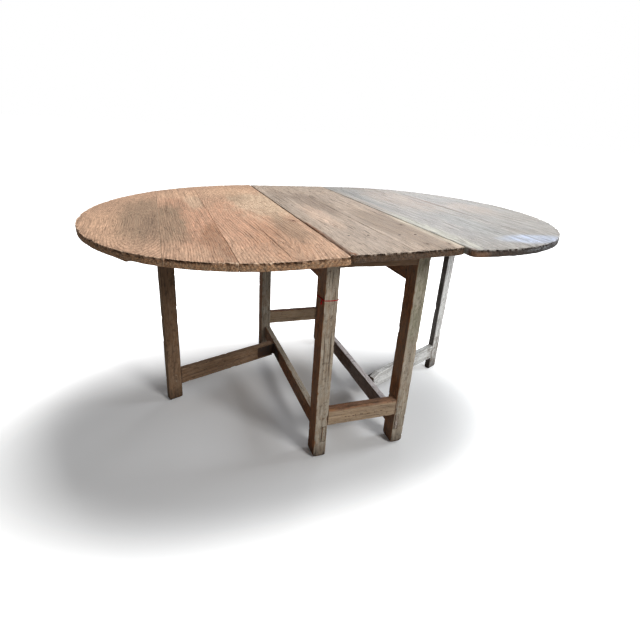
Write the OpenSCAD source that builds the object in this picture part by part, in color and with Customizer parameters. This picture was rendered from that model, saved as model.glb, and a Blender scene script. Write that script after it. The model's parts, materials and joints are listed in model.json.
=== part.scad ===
// Oval gate-leg table with two drop leaves.
// Origin: on the floor, under the centre of the open top. +X to the right leaf, +Z up. Millimetres.
// Side -1 is the left, +1 the right; end -1 is the front, +1 the back.

/* [Top] */
// Height of the top above the floor
table_h = 755; // [730:1:780]
// Thickness of the top boards
top_t = 22; // [20:1:26]
// Width of the fixed middle of the top
middle_w = 352; // [346:1:356]
// Back edge of the middle, from the centre line
middle_back = 604; // [560:1:620]
// Front edge of the middle at its left, its seam and its right, from the centre line
middle_front = [607, 592, 570]; // [540:1:620]
// Seam between the two middle boards, from the frame's centre
middle_seam = 6; // [-40:1:40]
// Gap between the middle and each leaf
leaf_gap = 4; // [3:0.5:5]
// Reach of each leaf from its hinged edge, left and right
leaf_reach = [658, 630]; // [600:1:700]
// Depth of each leaf from front to back
leaf_depth = [1240, 1200]; // [1160:1:1280]
// Straight part of each leaf's front and back edge
leaf_straight = [118, 86]; // [60:1:140]
// How far the left leaf hangs below level, in degrees
left_sag = 2.6; // [0:0.1:2.8]
// Seams of the left leaf, from its hinged edge
left_seams = [260, 420]; // [150:1:560]
// Seam of the right leaf, from its hinged edge
right_seam = 330; // [250:1:450]
// Gap left at a closed seam
seam_gap = 0.6; // [0.3:0.1:1.5]

/* [Battens] */
// Width and depth of the battens under the leaves
batten = [55, 22]; // [15:1:70]
// Distance of the battens' middle from the centre line, left and right leaf
batten_y = [349, 381]; // [340:1:400]
// Outer end of the battens, from the leaf's hinged edge
batten_end = [544, 460]; // [400:1:550]
// Inner end of the battens, from the leaf's hinged edge
batten_start = 34; // [30:1:60]
// Length of the bevel at a batten's outer end
batten_bevel = 38; // [10:1:50]

/* [Frame] */
// Width over the legs, left to right
frame_w = 336; // [320:1:340]
// Depth over the legs, front to back
frame_d = 860; // [840:1:880]
// Leg section, X and Y
leg = [44, 60]; // [40:1:64]
// Cut corner round each foot
foot_chamfer = 5; // [2:0.5:8]
// Thickness of the side aprons and side stretchers
side_t = 24; // [22:1:26]
// Thickness of the end rails and end stretchers
end_t = 28; // [24:1:32]
// Bottom of the side aprons
apron_z = 600; // [590:1:620]
// Bottom of the end rails
rail_z = 665; // [655:1:675]
// Bottom and top of the side stretchers
side_stretcher_z = [63, 124]; // [50:1:130]
// Bottom and top of the end stretchers
end_stretcher_z = [125, 186]; // [124:1:200]
// Thickness of the tenons
tenon_t = 11; // [9:1:12]
// Length of the stub tenons
tenon_l = 30; // [20:1:32]
// Radius of the oak pegs
peg_r = 4; // [3:0.5:5]

/* [Gates] */
// Thickness of the gates
gate_t = 25; // [22:1:26]
// Width of a gate's leg
gate_leg_w = 54; // [45:1:60]
// Reach of each gate from its hinge pin, left and right
gate_reach = [490, 494]; // [460:1:500]
// Place of each gate's hinge pin from front to back
gate_hinge_y = [198, -151]; // [-210:1:210]
// Angle that each gate stands open from the frame, in degrees
gate_open = [69, 65]; // [60:1:75]
// Space between the hinge pin and the arm's end
gate_end_gap = [5, 13]; // [5:1:15]
// Top of each gate's leg
gate_leg_top = [710, 731]; // [700:1:731]
// Bottom and top of the lower arms
lower_arm_z = [61, 125]; // [55:1:130]
// Bottom and top of the upper arms
upper_arm_z = [640, 700]; // [630:1:700]

/* [Hinges] */
// Radius of the hinge barrels
barrel_r = 4; // [3.5:0.1:4.2]
// Radius of the hinge pins
pin_r = 2; // [1.6:0.1:2.2]
// Thickness of the iron flaps
flap_t = 2; // [1.6:0.1:2]
// Length of a leaf hinge and width of one of its flaps
leaf_hinge = [72, 26]; // [20:1:80]
// Places of the leaf hinges from front to back
leaf_hinge_y = [-480, 0, 480]; // [-520:1:520]
// Height of a gate hinge and length of one of its flaps
gate_hinge = [46, 82]; // [40:1:90]
// Radius of the screw shanks
screw_r = 1.8; // [1.5:0.1:2]

/* [Thread] */
// Height of the thread tied round the front left leg
thread_z = 568; // [300:1:590]
// Thickness of the thread
thread_t = 1.8; // [1:0.2:3]

/* [Hidden] */

$fn = 32;
SIDES = [-1, 1];
ENDS = [-1, 1];
cut = 1;                                  // how far a cutting solid runs past a face
ease = 0.15;                              // clearance all round a tenon
pin_play = 0.05;                          // running clearance of a hinge pin
peg_play = 0.03;                          // clearance round a peg, nail or screw
knuckle_gap = 0.4;                        // space between two knuckles
flap_gap = 0.2;                           // half the space between closed flaps
nail_r = 2;
nail_head_r = 3.5;
nail_head_t = 1.5;
nail_l = 52;
batten_nail_l = 38;
side_peg_l = 36;
screw_l = 15;
screw_head_r = 3.6;
end_facets = 30;                          // straight steps in a leaf's half oval end

board_z = table_h - top_t;                // underside of the boards
leg_x = frame_w / 2 - leg[0] / 2;         // middle of a leg
leg_y = frame_d / 2 - leg[1] / 2;
inner_x = frame_w / 2 - leg[0];           // inner face of a leg
inner_y = frame_d / 2 - leg[1];
rail_y = frame_d / 2 - end_t / 2;         // middle of an end rail
side_x = inner_x + side_t / 2;            // middle of a side apron
side_face = inner_x + side_t;             // outer face of a side apron
joint_x = middle_w / 2 + leaf_gap / 2;    // leaf hinge pins
leaf_pin_z = board_z - barrel_r;
gate_pin_x = side_face + flap_t + flap_gap;
gate_face = flap_t + flap_gap;            // from a gate's pin to its nearer face

// The frame stands off the centre of the top by half of what the left leaf reaches further.
left_end = (leaf_reach[0] + leaf_gap / 2) * cos(left_sag) + (table_h - leaf_pin_z) * sin(left_sag);
right_end = leaf_reach[1] + leaf_gap / 2;
frame_x = (left_end - right_end) / 2;

gate_hinge_z = [(lower_arm_z[0] + lower_arm_z[1]) / 2, (upper_arm_z[0] + upper_arm_z[1]) / 2];
gate_turn = [270 - gate_open[0], 90 - gate_open[1]];
leaf_screw_y = [-24, 0, 24];              // along one flap
leaf_screw_x = leaf_hinge[1] - 10;        // from the pin line
gate_screw_x = [30, 66];                  // from the pin line
gate_screw_z = [-12, 12];
middle_nail_x = [-104, -44, 56, 108];
batten_nail_u = [70, 170, 290, 400];

oak = [0.56, 0.49, 0.42];
pale_oak = [0.66, 0.61, 0.55];
pine = [0.74, 0.58, 0.43];
grey_pine = [0.67, 0.63, 0.60];
iron = [0.22, 0.21, 0.21];

function index(side) = side < 0 ? 0 : 1;

// ---- shared shapes ----

module box(x, y, z) {
    translate([x[0], y[0], z[0]]) cube([x[1] - x[0], y[1] - y[0], z[1] - z[0]]);
}

module in_frame() {
    translate([frame_x, 0, 0]) children();
}

// A leaf's own space: X outwards from the hinge pins, Z up from them.
module in_leaf(side) {
    in_frame() translate([side * joint_x, 0, leaf_pin_z])
        rotate([0, side < 0 ? -left_sag : 0, 0])
            mirror([side < 0 ? 1 : 0, 0, 0]) children();
}

// A gate's own space: X along the arms from the hinge pin, -Y through their thickness.
module in_gate(side) {
    in_frame() translate([side * gate_pin_x, gate_hinge_y[index(side)], 0])
        rotate([0, 0, gate_turn[index(side)]]) children();
}

// A gate as it lies when it is shut against the frame, for the flaps fixed to the frame.
module in_shut_gate(side) {
    in_frame() translate([side * gate_pin_x, gate_hinge_y[index(side)], 0])
        rotate([0, 0, side < 0 ? 270 : 90]) children();
}

// A nail driven down from z = 0.
module nail(length, play = 0) {
    translate([0, 0, -length]) cylinder(r = nail_r + play, h = length + play);
    translate([0, 0, -nail_head_t]) cylinder(r = nail_head_r + play, h = nail_head_t + play);
}

// A countersunk screw driven down from z = 0.
module screw(play = 0) {
    translate([0, 0, -screw_l]) cylinder(r = screw_r + play, h = screw_l);
    translate([0, 0, -flap_t]) cylinder(r1 = screw_r + play, r2 = screw_head_r + play, h = flap_t + play);
}

// ---- fixings of the frame ----

module frame_peg_solids(play = 0) {
    for (side = SIDES, end = ENDS) {
        // through the end rail's and the end stretcher's tenons, in from the end face
        for (z = [685, 713, (end_stretcher_z[0] + end_stretcher_z[1]) / 2])
            translate([side * (inner_x + 16), end * (frame_d / 2 + play), z])
                rotate([end * 90, 0, 0]) cylinder(r = peg_r + play, h = end_t + 8 + 2 * play);
        // through the apron's and the side stretcher's tenons, in from the side face
        for (z = [622, 700, (side_stretcher_z[0] + side_stretcher_z[1]) / 2])
            translate([side * (frame_w / 2 + play), end * (inner_y + 14), z])
                rotate([0, -side * 90, 0]) cylinder(r = peg_r + play, h = side_peg_l + 2 * play);
    }
}

module middle_nail_solids(play = 0) {
    for (end = ENDS, x = middle_nail_x)
        translate([x, end * rail_y, table_h]) nail(nail_l, play);
}

// Screws up into the middle boards, and sideways into the aprons and side stretchers.
module frame_screw_solids(play = 0) {
    for (side = SIDES) {
        for (y = leaf_hinge_y, dy = leaf_screw_y)
            translate([side * (joint_x - leaf_screw_x), y + dy, board_z - flap_t])
                rotate([180, 0, 0]) screw(play);
        translate([side * gate_pin_x, gate_hinge_y[index(side)], 0])
            rotate([0, 0, side < 0 ? 270 : 90])
                for (z = gate_hinge_z, x = gate_screw_x, dz = gate_screw_z)
                    translate([x, flap_gap, z + dz]) rotate([90, 0, 0]) screw(play);
    }
}

// Grooves in the aprons and side stretchers for the barrels of the gate hinges.
module barrel_grooves() {
    for (side = SIDES, z = gate_hinge_z)
        translate([side * gate_pin_x, gate_hinge_y[index(side)], z - gate_hinge[0] / 2 - 1])
            cylinder(r = barrel_r + 0.6, h = gate_hinge[0] + 2);
}

// ---- frame ----

module fixed_leg(side, end) {
    color(oak) in_frame() difference() {
        translate([side * leg_x, end * leg_y, 0]) leg_post();
        end_tenons(side, end, ease);
        side_tenons(side, end, ease);
        frame_peg_solids(peg_play);
    }
}

module leg_post() {
    c = foot_chamfer;
    x = leg[0] / 2;
    y = leg[1] / 2;
    intersection() {
        box([-x, x], [-y, y], [0, board_z]);
        rotate([90, 0, 0]) translate([0, 0, -y - cut]) linear_extrude(leg[1] + 2 * cut)
            polygon([[c - x, 0], [x - c, 0], [x, c], [x, board_z], [-x, board_z], [-x, c]]);
        rotate([90, 0, 90]) translate([0, 0, -x - cut]) linear_extrude(leg[0] + 2 * cut)
            polygon([[c - y, 0], [y - c, 0], [y, c], [y, board_z], [-y, board_z], [-y, c]]);
    }
}

// Tenons that run left and right into one leg.
module end_tenons(side, end, play = 0) {
    for (z = [[rail_z + 8, board_z - 14], [end_stretcher_z[0] + 6, end_stretcher_z[1] - 6]])
        box(side < 0 ? [-inner_x - tenon_l - play, -inner_x + cut * play] :
                       [inner_x - cut * play, inner_x + tenon_l + play],
            end < 0 ? [-rail_y - tenon_t / 2 - play, -rail_y + tenon_t / 2 + play] :
                      [rail_y - tenon_t / 2 - play, rail_y + tenon_t / 2 + play],
            [z[0] - play, z[1] + play]);
}

// Tenons that run front and back into one leg: a stub above, and one right through below.
module side_tenons(side, end, play = 0) {
    for (t = [[apron_z + 8, board_z - 14, tenon_l - 2],
              [side_stretcher_z[0] + 7, side_stretcher_z[1] - 7, leg[1]]])
        translate([side * side_x, 0, 0])
            box([-tenon_t / 2 - play, tenon_t / 2 + play],
                end < 0 ? [-inner_y - t[2] - play, -inner_y + play] : [inner_y - play, inner_y + t[2] + play],
                [t[0] - play, t[1] + play]);
}

module end_bar(end, z) {
    box([-inner_x, inner_x],
        end < 0 ? [-frame_d / 2, -frame_d / 2 + end_t] : [frame_d / 2 - end_t, frame_d / 2], z);
}

module end_rail(end) {
    color(oak) in_frame() difference() {
        union() {
            end_bar(end, [rail_z, board_z]);
            intersection() {
                for (side = SIDES) end_tenons(side, end);
                box([-frame_w, frame_w], [-frame_d, frame_d], [rail_z, board_z]);
            }
        }
        frame_peg_solids(peg_play);
        middle_nail_solids(peg_play);
    }
}

module end_stretcher(end) {
    color(pale_oak) in_frame() difference() {
        union() {
            end_bar(end, end_stretcher_z);
            intersection() {
                for (side = SIDES) end_tenons(side, end);
                box([-frame_w, frame_w], [-frame_d, frame_d], end_stretcher_z);
            }
        }
        frame_peg_solids(peg_play);
    }
}

module side_bar(side, z) {
    difference() {
        union() {
            translate([side * side_x, 0, 0])
                box([-side_t / 2, side_t / 2], [-inner_y, inner_y], z);
            intersection() {
                for (end = ENDS) side_tenons(side, end);
                box([-frame_w, frame_w], [-frame_d, frame_d], z);
            }
        }
        frame_peg_solids(peg_play);
        frame_screw_solids(peg_play);
        barrel_grooves();
    }
}

module apron(side) {
    color(oak) in_frame() side_bar(side, [apron_z, board_z]);
}

module side_stretcher(side) {
    color(oak) in_frame() side_bar(side, side_stretcher_z);
}

module frame_pegs() {
    color(pale_oak) in_frame() frame_peg_solids();
}

// ---- fixed middle of the top ----

module middle_outline() {
    x = middle_w / 2;
    polygon([[-x, -middle_front[0]], [middle_seam, -middle_front[1]], [x, -middle_front[2]],
             [x, middle_back], [-x, middle_back]]);
}

module middle_board(x0, x1) {
    color(grey_pine) in_frame() difference() {
        translate([0, 0, board_z]) linear_extrude(top_t) intersection() {
            middle_outline();
            translate([x0, -700]) square([x1 - x0, 1400]);
        }
        middle_nail_solids(peg_play);
        frame_screw_solids(peg_play);
    }
}

module middle_nails() {
    color(iron) in_frame() middle_nail_solids();
}

// ---- leaves ----

// Half oval: straight edges from the hinged side, then half an ellipse.
module leaf_outline(i) {
    s = leaf_straight[i];
    a = leaf_reach[i] - s;
    b = leaf_depth[i] / 2;
    translate([leaf_gap / 2, 0])
        polygon(concat([[0, b], [0, -b]],
            [for (k = [0:end_facets]) let (t = -90 + 180 * k / end_facets) [s + a * cos(t), b * sin(t)]]));
}

module leaf_board(side, u0, u1) {
    i = index(side);
    color(side < 0 ? pine : grey_pine) in_leaf(side) difference() {
        translate([0, 0, barrel_r]) linear_extrude(top_t) intersection() {
            leaf_outline(i);
            translate([leaf_gap / 2 + u0, -700]) square([u1 - u0, 1400]);
        }
        leaf_screw_solids(peg_play);
        for (end = ENDS) batten_nail_solids(i, end, peg_play);
    }
}

module leaf_batten(side, end) {
    i = index(side);
    x0 = leaf_gap / 2 + batten_start;
    x1 = leaf_gap / 2 + batten_end[i];
    color(pine) in_leaf(side) difference() {
        translate([0, end * batten_y[i] + batten[0] / 2, barrel_r]) rotate([90, 0, 0])
            linear_extrude(batten[0])
                polygon([[x0, -batten[1]], [x1 - batten_bevel, -batten[1]], [x1, 0], [x0, 0]]);
        batten_nail_solids(i, end, peg_play);
    }
}

module batten_nail_solids(i, end, play = 0) {
    for (k = [0:len(batten_nail_u) - 1])
        translate([batten_nail_u[k], end * batten_y[i] + (k % 2 == 0 ? -12 : 12), barrel_r - batten[1]])
            rotate([180, 0, 0]) nail(batten_nail_l, play);
}

module batten_nails(side) {
    color(iron) in_leaf(side) for (end = ENDS) batten_nail_solids(index(side), end);
}

module leaf_screw_solids(play = 0) {
    for (y = leaf_hinge_y, dy = leaf_screw_y)
        translate([leaf_screw_x, y + dy, barrel_r - flap_t]) rotate([180, 0, 0]) screw(play);
}

// ---- hinges ----

// One flap with its knuckles: the pin along Y, the flap in +X with its back at z = height.
module flap_with_knuckles(length, width, height, first, count) {
    step = length / count;
    difference() {
        union() {
            translate([barrel_r + 0.6, -length / 2, height - flap_t])
                cube([width - barrel_r - 0.6, length, flap_t]);
            for (k = [first:2:count - 1]) translate([0, -length / 2 + k * step + knuckle_gap / 2, 0]) {
                rotate([-90, 0, 0]) cylinder(r = barrel_r, h = step - knuckle_gap);
                translate([0, 0, height - flap_t])
                    cube([barrel_r + cut, step - knuckle_gap, flap_t]);
            }
        }
        translate([0, -length, 0]) rotate([-90, 0, 0]) cylinder(r = pin_r + pin_play, h = 2 * length);
    }
}

module leaf_hinge_fixed_flaps(side) {
    color(iron) in_frame() difference() {
        translate([side * joint_x, 0, leaf_pin_z]) mirror([side > 0 ? 1 : 0, 0, 0])
            for (y = leaf_hinge_y) translate([0, y, 0])
                flap_with_knuckles(leaf_hinge[0], leaf_hinge[1], barrel_r, 0, 5);
        frame_screw_solids(peg_play);
    }
}

module leaf_hinge_flaps(side) {
    color(iron) in_leaf(side) difference() {
        for (y = leaf_hinge_y) translate([0, y, 0])
            flap_with_knuckles(leaf_hinge[0], leaf_hinge[1], barrel_r, 1, 5);
        leaf_screw_solids(peg_play);
    }
}

module leaf_hinge_pins(side) {
    color(iron) in_frame() translate([side * joint_x, 0, leaf_pin_z])
        for (y = leaf_hinge_y) translate([0, y - leaf_hinge[0] / 2, 0])
            rotate([-90, 0, 0]) cylinder(r = pin_r, h = leaf_hinge[0]);
}

module frame_hinge_screws() {
    color(iron) in_frame() frame_screw_solids();
}

module leaf_screws(side) {
    color(iron) in_leaf(side) leaf_screw_solids();
}

// One gate's two flaps: pins upright, flaps along +X, their backs on the -Y (1) or +Y (-1) side.
module gate_flaps(face, first) {
    for (z = gate_hinge_z) translate([0, 0, z]) rotate([face * 90, 0, 0])
        flap_with_knuckles(gate_hinge[0], gate_hinge[1], gate_face, first, 3);
}

module gate_hinge_fixed_flaps(side) {
    color(iron) difference() {
        in_shut_gate(side) gate_flaps(-1, 0);
        in_frame() frame_screw_solids(peg_play);
    }
}

module gate_hinge_flaps(side) {
    color(iron) in_gate(side) difference() {
        gate_flaps(1, 1);
        gate_screw_solids(peg_play);
    }
}

module gate_hinge_pins(side) {
    color(iron) in_shut_gate(side) for (z = gate_hinge_z)
        translate([0, 0, z - gate_hinge[0] / 2]) cylinder(r = pin_r, h = gate_hinge[0]);
}

module gate_screw_solids(play = 0) {
    for (z = gate_hinge_z, x = gate_screw_x, dz = gate_screw_z)
        translate([x, -flap_gap, z + dz]) rotate([-90, 0, 0]) screw(play);
}

module gate_screws(side) {
    color(iron) in_gate(side) gate_screw_solids();
}

// ---- gates ----

module gate_tenon(i, z, play = 0) {
    x = gate_reach[i] - gate_leg_w;
    y = -gate_face - gate_t / 2;
    box([x - cut * play, x + 42 + play], [y - 4 - play, y + 4 + play], [z[0] + 6 - play, z[1] - 6 + play]);
}

module gate_peg_solids(i, play = 0) {
    for (z = concat(lower_arm_z, upper_arm_z))
        translate([gate_reach[i] - gate_leg_w / 2 - 4, -gate_face + play,
                   z == lower_arm_z[0] || z == upper_arm_z[0] ? z + 19 : z - 19])
            rotate([90, 0, 0]) cylinder(r = peg_r - 1 + play, h = gate_t + 2 * play);
}

module gate_leg(side) {
    i = index(side);
    c = foot_chamfer;
    x0 = gate_reach[i] - gate_leg_w;
    x1 = gate_reach[i];
    color(oak) in_gate(side) difference() {
        translate([0, -gate_face, 0]) rotate([90, 0, 0]) linear_extrude(gate_t)
            polygon([[x0 + c, 0], [x1 - c, 0], [x1, c], [x1, gate_leg_top[i]], [x0, gate_leg_top[i]], [x0, c]]);
        gate_tenon(i, lower_arm_z, ease);
        gate_tenon(i, upper_arm_z, ease);
        gate_peg_solids(i, peg_play);
    }
}

module gate_arm(side, z) {
    i = index(side);
    color(side < 0 ? oak : pale_oak) in_gate(side) difference() {
        union() {
            box([gate_end_gap[i], gate_reach[i] - gate_leg_w], [-gate_face - gate_t, -gate_face], z);
            gate_tenon(i, z);
        }
        gate_peg_solids(i, peg_play);
        gate_screw_solids(peg_play);
    }
}

module gate_pegs(side) {
    color(pale_oak) in_gate(side) gate_peg_solids(index(side));
}

// ---- thread ----

module red_thread() {
    play = 0.1;
    x = leg[0] / 2 + play;
    y = leg[1] / 2 + play;
    color([0.62, 0.12, 0.13]) in_frame() translate([-leg_x, -leg_y, thread_z]) {
        linear_extrude(thread_t) difference() {
            square([2 * (x + thread_t), 2 * (y + thread_t)], center = true);
            square([2 * x, 2 * y], center = true);
        }
        translate([-x - thread_t, -y + 12, thread_t / 2]) rotate([0, 90, 0])
            translate([0, 0, -3]) cylinder(r = 3, h = 4);
    }
}

// ---- nodes ----

fixed_leg(-1, -1);  // leg_front_left
fixed_leg(1, -1);  // leg_front_right
fixed_leg(-1, 1);  // leg_back_left
fixed_leg(1, 1);  // leg_back_right
apron(-1);  // apron_left
apron(1);  // apron_right
end_rail(-1);  // end_rail_front
end_rail(1);  // end_rail_back
side_stretcher(-1);  // side_stretcher_left
side_stretcher(1);  // side_stretcher_right
end_stretcher(-1);  // end_stretcher_front
end_stretcher(1);  // end_stretcher_back
middle_board(-middle_w / 2, middle_seam - seam_gap / 2);  // middle_board_left
middle_board(middle_seam + seam_gap / 2, middle_w / 2);  // middle_board_right
middle_nails();
frame_pegs();
leaf_board(-1, 0, left_seams[0] - seam_gap / 2);  // left_leaf_inner_board
leaf_board(-1, left_seams[0] + seam_gap / 2, left_seams[1] - seam_gap / 2);  // left_leaf_centre_board
leaf_board(-1, left_seams[1] + seam_gap / 2, leaf_reach[0] + cut);  // left_leaf_outer_board
leaf_batten(-1, -1);  // left_batten_front
leaf_batten(-1, 1);  // left_batten_back
batten_nails(-1);  // left_batten_nails
leaf_board(1, 0, right_seam - seam_gap / 2);  // right_leaf_inner_board
leaf_board(1, right_seam + seam_gap / 2, leaf_reach[1] + cut);  // right_leaf_outer_board
leaf_batten(1, -1);  // right_batten_front
leaf_batten(1, 1);  // right_batten_back
batten_nails(1);  // right_batten_nails
leaf_hinge_fixed_flaps(-1);  // left_leaf_hinge_fixed_flaps
leaf_hinge_flaps(-1);  // left_leaf_hinge_flaps
leaf_hinge_pins(-1);  // left_leaf_hinge_pins
leaf_hinge_fixed_flaps(1);  // right_leaf_hinge_fixed_flaps
leaf_hinge_flaps(1);  // right_leaf_hinge_flaps
leaf_hinge_pins(1);  // right_leaf_hinge_pins
frame_hinge_screws();
leaf_screws(-1);  // left_leaf_screws
leaf_screws(1);  // right_leaf_screws
gate_leg(-1);  // left_gate_leg
gate_arm(-1, lower_arm_z);  // left_gate_lower_arm
gate_arm(-1, upper_arm_z);  // left_gate_upper_arm
gate_pegs(-1);  // left_gate_pegs
gate_hinge_fixed_flaps(-1);  // left_gate_hinge_fixed_flaps
gate_hinge_flaps(-1);  // left_gate_hinge_flaps
gate_hinge_pins(-1);  // left_gate_hinge_pins
gate_screws(-1);  // left_gate_screws
gate_leg(1);  // right_gate_leg
gate_arm(1, lower_arm_z);  // right_gate_lower_arm
gate_arm(1, upper_arm_z);  // right_gate_upper_arm
gate_pegs(1);  // right_gate_pegs
gate_hinge_fixed_flaps(1);  // right_gate_hinge_fixed_flaps
gate_hinge_flaps(1);  // right_gate_hinge_flaps
gate_hinge_pins(1);  // right_gate_hinge_pins
gate_screws(1);  // right_gate_screws
red_thread();
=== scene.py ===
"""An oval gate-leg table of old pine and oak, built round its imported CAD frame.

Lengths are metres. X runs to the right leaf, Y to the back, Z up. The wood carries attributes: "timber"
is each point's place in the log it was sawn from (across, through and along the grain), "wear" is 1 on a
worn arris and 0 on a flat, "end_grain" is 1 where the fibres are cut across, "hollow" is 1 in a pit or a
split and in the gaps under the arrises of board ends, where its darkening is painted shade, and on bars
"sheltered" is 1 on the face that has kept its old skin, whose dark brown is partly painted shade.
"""
import json
import math

import bpy
import numpy as np
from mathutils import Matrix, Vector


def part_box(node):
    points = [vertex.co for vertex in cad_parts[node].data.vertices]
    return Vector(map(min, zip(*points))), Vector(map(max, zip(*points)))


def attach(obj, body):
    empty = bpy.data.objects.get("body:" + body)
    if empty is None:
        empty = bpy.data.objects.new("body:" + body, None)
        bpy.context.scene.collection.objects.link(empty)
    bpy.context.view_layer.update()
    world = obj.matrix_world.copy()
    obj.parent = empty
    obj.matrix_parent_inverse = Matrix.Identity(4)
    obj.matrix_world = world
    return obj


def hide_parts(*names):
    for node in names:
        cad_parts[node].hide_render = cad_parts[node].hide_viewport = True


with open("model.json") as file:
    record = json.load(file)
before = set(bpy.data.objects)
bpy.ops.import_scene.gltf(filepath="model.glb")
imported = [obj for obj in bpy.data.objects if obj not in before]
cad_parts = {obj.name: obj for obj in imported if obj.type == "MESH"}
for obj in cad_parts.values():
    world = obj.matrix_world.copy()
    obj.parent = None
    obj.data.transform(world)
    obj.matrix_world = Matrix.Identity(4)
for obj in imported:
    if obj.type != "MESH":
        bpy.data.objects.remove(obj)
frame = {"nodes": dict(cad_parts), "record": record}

MM = 0.001
SAME = math.inf
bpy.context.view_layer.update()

# ---- driving dimensions, read from the frame where it holds them ----

LEFT, RIGHT = -1, 1
FRONT, BACK = -1, 1
SIDE = {LEFT: "left", RIGHT: "right"}
END = {FRONT: "front", BACK: "back"}


def cad(node):
    """The lowest and highest corners of a CAD node as arrays."""
    low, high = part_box(node)
    return np.array(low), np.array(high)


LEG_LOW, LEG_HIGH = cad("leg_front_left")
FRAME_X = (LEG_LOW[0] + cad("leg_back_right")[1][0]) / 2
BOARD_Z = LEG_HIGH[2]
TOP_Z = cad("middle_board_left")[1][2]
TOP_T = TOP_Z - BOARD_Z
JOINTS = {joint["name"]: joint for joint in frame["record"]["behaviour"]["joints"]}
LEAF_PIN = {s: np.array(JOINTS[SIDE[s] + "_leaf_lift"]["pos_m"]) for s in SIDE}
GATE_PIN = {s: np.array(JOINTS[SIDE[s] + "_gate_swing"]["pos_m"]) for s in SIDE}
SAG = {LEFT: math.radians(2.6), RIGHT: 0.0}
GATE_TURN = {LEFT: math.radians(270 - 69), RIGHT: math.radians(90 - 65)}
HALF_GAP = 2 * MM
LEAF_REACH = {LEFT: 658 * MM, RIGHT: 630 * MM}
LEAF_HALF = {LEFT: 620 * MM, RIGHT: 600 * MM}
LEAF_STRAIGHT = {LEFT: 118 * MM, RIGHT: 86 * MM}
BATTEN_Y = {LEFT: 349 * MM, RIGHT: 381 * MM}
BATTEN_END = {LEFT: 544 * MM, RIGHT: 460 * MM}
GATE_REACH = {LEFT: 490 * MM, RIGHT: 494 * MM}
GATE_GAP = {LEFT: 5 * MM, RIGHT: 13 * MM}
GATE_LEG_W = 54 * MM
GATE_T = 25 * MM
GATE_FACE = 2.2 * MM
BATTEN_W, BATTEN_T = 55 * MM, 22 * MM
APRON_IN, LEG_IN = 124 * MM, 370 * MM
STRETCHER_X, STRETCHER_MID_Z = 136 * MM, 93.5 * MM
STRETCHER_SIZE = (24 * MM, 861.8 * MM, 61 * MM)
TENON_W, TENON_H, TENON_Z = 12 * MM, 57 * MM, 92 * MM
THREAD_Z, THREAD_R = 568 * MM, 1.25 * MM


# ---- numbers that look like wear ----

def lattice(cell, seed):
    """A repeatable value in -1..1 for each whole-number lattice cell: the last digits of a large sine."""
    h = np.sin(cell[..., 0] * 127.1 + cell[..., 1] * 311.7 + cell[..., 2] * 74.7 + seed * 53.3) * 43758.5453
    return 2 * (h - np.floor(h)) - 1


def noise(points, size, seed):
    """Smooth noise in -1..1: the lattice values at a cell's eight corners, blended by smoothstep.

    size is the cell's size along X, Y and Z, or SAME where the noise doesn't change along an axis.
    """
    q = np.asarray(points) / np.asarray(size, float)
    cell = np.floor(q)
    f = q - cell
    f = f * f * (3 - 2 * f)
    total = 0.0
    for corner in np.ndindex(2, 2, 2):
        weight = np.prod(np.where(corner, f, 1 - f), axis=-1)
        total = total + weight * lattice(cell + corner, seed)
    return total


def layered(points, size, seed):
    """Three layers of noise, each half the size and half the strength of the one before."""
    total = 0.0
    for layer in range(3):
        total = total + 0.5 ** layer * noise(points, np.asarray(size, float) / 2 ** layer, seed + 7 * layer)
    return total / 1.75


def held(x):
    """A value held between 0 and 1."""
    return np.clip(x, 0, 1)


def peaks(points, size, seed, level):
    """How far the noise stands above a level, and 0 where it is below."""
    return held(noise(points, size, seed) - level)


def xyz(x, y, z):
    """Three broadcast coordinates as one array of points."""
    return np.stack(np.broadcast_arrays(x, y, z), axis=-1)


def bump(x, centre, reach):
    """1 at centre, falling smoothly to 0 at reach away from it."""
    t = held(1 - ((x - centre) / reach) ** 2)
    return t * t


def between(x, low, high):
    """A bump over a stretch from low to high."""
    return bump(x, (low + high) / 2, (high - low) / 2)


# ---- meshes ----

def make_piece(name, grid, body, nodes, finish, slot, **attributes):
    """A closed smooth mesh over a grid of points, loop by loop, with a value per point in each attribute.

    Its faces are turned round where the volume they enclose comes out negative. It rides on a body and
    stands for CAD nodes.
    """
    points = grid.reshape(-1, 3)
    faces = loft_faces(*grid.shape[:2])
    a, b, c, d = np.moveaxis(points[faces], 1, 0)
    if (a * np.cross(b, c) + a * np.cross(c, d)).sum() < 0:
        faces = faces[:, ::-1]
    mesh = bpy.data.meshes.new(name)
    mesh.vertices.add(len(points))
    mesh.vertices.foreach_set("co", points.astype(np.float32).ravel())
    mesh.loops.add(faces.size)
    mesh.loops.foreach_set("vertex_index", faces.astype(np.int32).ravel())
    mesh.polygons.add(len(faces))
    mesh.polygons.foreach_set("loop_start", np.arange(0, faces.size, 4, dtype=np.int32))
    mesh.polygons.foreach_set("use_smooth", np.ones(len(faces), bool))
    mesh.update(calc_edges=True)
    for key, values in attributes.items():
        kind, field = ("FLOAT_VECTOR", "vector") if values.ndim == 3 else ("FLOAT", "value")
        layer = mesh.attributes.new(key, kind, "POINT")
        layer.data.foreach_set(field, values.astype(np.float32).ravel())
    mesh.materials.append(finish)
    piece = bpy.data.objects.new(name, mesh)
    bpy.context.scene.collection.objects.link(piece)
    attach(piece, body)
    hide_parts(*nodes)


def loft_faces(loops, around):
    """Quads between neighbouring loops, and across each end loop from each point to its mirror point."""
    start = np.arange(loops - 1)[:, None] * around
    j = np.arange(around)[None, :]
    after = (j + 1) % around
    sides = np.stack([start + j, start + after, start + around + after, start + around + j], -1).reshape(-1, 4)
    j = np.arange(around // 2 - 1)
    first = np.stack([j, j + 1, around - 2 - j, around - 1 - j], -1)
    last = first[:, ::-1] + (loops - 1) * around
    return np.concatenate([sides, first[:, ::-1], last[:, ::-1]])


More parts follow.
